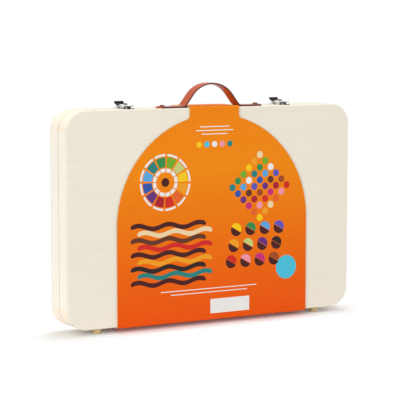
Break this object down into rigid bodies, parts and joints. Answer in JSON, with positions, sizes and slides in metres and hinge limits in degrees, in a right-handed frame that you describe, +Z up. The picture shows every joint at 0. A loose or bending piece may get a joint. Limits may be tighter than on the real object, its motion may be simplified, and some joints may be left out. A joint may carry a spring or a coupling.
{
  "type": "mixed media art set",
  "caption": "Slim hinged wooden carrying case with strap handle, toggle latches and card sleeve, holding art supplies in two moulded trays.",
  "frame": {"origin": "midway between the feet on the surface that the case stands on, at the middle of the bounding box's bottom", "axes": "+X along the case, to the right seen from the front; -Y is the front, where the sleeve's printed face is; +Z up"},
  "size_m": [0.44, 0.0558, 0.3307],
  "materials": {
    "pale_wood": "satin sanded basswood",
    "corner_wood": "satin, grain the other way",
    "foot_wood": "satin",
    "leather": "smooth brown, dark painted edges",
    "dark_metal": "black lacquer",
    "plated_steel": "bright zinc",
    "orange_board": "printed fluted board",
    "tray_plastic": "black moulded sheet",
    "pencil_lacquer": "lacquered barrels",
    "pencil_core": "wax colour",
    "graphite": "graphite",
    "marker_plastic": "dark moulded barrel",
    "cap_plastic": "coloured moulded cap",
    "pastel": "oil pastel in a paper wrapper",
    "tube_metal": "printed soft tube",
    "tube_cap_plastic": "white cap",
    "brush_wood": "clear lacquer",
    "ferrule_metal": "nickel",
    "hair": "brown bristle",
    "eraser_rubber": "white",
    "blade_steel": "ground",
    "sharpener_metal": "cast"
  },
  "bodies": {
    "back_half": {"back_panel": "pale_wood", "back_top_rail": "pale_wood", "back_bottom_rail": "pale_wood", "back_left_rail": "pale_wood", "back_right_rail": "pale_wood", "back_corner_blocks": "corner_wood", "back_feet": "foot_wood", "back_hinge_leaves": "plated_steel", "back_hinge_screws": "plated_steel", "back_tray": "tray_plastic", "hinge_pins": "plated_steel", "colour_pencils": "pencil_lacquer", "colour_pencil_points": "pencil_core", "graphite_pencils": "graphite", "graphite_points": "graphite", "marker_barrels": "marker_plastic", "marker_caps": "cap_plastic", "brush_handles": "brush_wood", "brush_ferrules": "ferrule_metal", "brush_hair": "hair", "left_latch_base": "dark_metal", "left_latch_pin": "dark_metal", "left_latch_base_screws": "dark_metal", "right_latch_base": "dark_metal", "right_latch_pin": "dark_metal", "right_latch_base_screws": "dark_metal"},
    "front_half": {"front_panel": "pale_wood", "front_top_rail": "pale_wood", "front_bottom_rail": "pale_wood", "front_left_rail": "pale_wood", "front_right_rail": "pale_wood", "front_corner_blocks": "corner_wood", "front_feet": "foot_wood", "front_hinge_leaves": "plated_steel", "front_hinge_screws": "plated_steel", "front_tray": "tray_plastic", "oil_pastels": "pastel", "paint_tube_bodies": "tube_metal", "paint_tube_caps": "tube_cap_plastic", "eraser": "eraser_rubber", "sharpener_body": "sharpener_metal", "sharpener_blade": "blade_steel", "sharpener_screw": "blade_steel", "handle_strap": "leather", "handle_washers": "dark_metal", "handle_screws": "dark_metal", "left_latch_catch": "dark_metal", "left_latch_catch_screws": "dark_metal", "right_latch_catch": "dark_metal", "right_latch_catch_screws": "dark_metal"},
    "left_lever": {"left_latch_lever": "dark_metal"},
    "right_lever": {"right_latch_lever": "dark_metal"},
    "left_loop": {"left_latch_loop": "dark_metal"},
    "right_loop": {"right_latch_loop": "dark_metal"},
    "sleeve_back_board": {"sleeve_back": "orange_board"},
    "sleeve_front_board": {"sleeve_front": "orange_board"}
  },
  "joints": [
    {"name": "lid_hinge", "type": "hinge", "parent": "back_half", "child": "front_half", "pos_m": [0, 0, 0.0063], "axis": [1, 0, 0], "range_deg": [0, 100]},
    {"name": "left_lever_pivot", "type": "hinge", "parent": "back_half", "child": "left_lever", "pos_m": [-0.122, 0.007, 0.3009], "axis": [1, 0, 0], "range_deg": [0, 120]},
    {"name": "left_loop_pivot", "type": "hinge", "parent": "left_lever", "child": "left_loop", "pos_m": [-0.122, 0.0105, 0.3002], "axis": [1, 0, 0], "range_deg": [-120, 0]},
    {"name": "right_lever_pivot", "type": "hinge", "parent": "back_half", "child": "right_lever", "pos_m": [0.122, 0.007, 0.3009], "axis": [1, 0, 0], "range_deg": [0, 120]},
    {"name": "right_loop_pivot", "type": "hinge", "parent": "right_lever", "child": "right_loop", "pos_m": [0.122, 0.0105, 0.3002], "axis": [1, 0, 0], "range_deg": [-120, 0]},
    {"name": "sleeve_front_pull", "type": "slide", "parent": "front_half", "child": "sleeve_front_board", "axis": [0, -1, 0], "range_m": [0, 0.08]},
    {"name": "sleeve_back_pull", "type": "slide", "parent": "back_half", "child": "sleeve_back_board", "axis": [0, 1, 0], "range_m": [0, 0.08]}
  ],
  "couplings": [
    {"joint": "left_loop_pivot", "follows": "left_lever_pivot", "ratio": -1},
    {"joint": "right_loop_pivot", "follows": "right_lever_pivot", "ratio": -1}
  ]
}
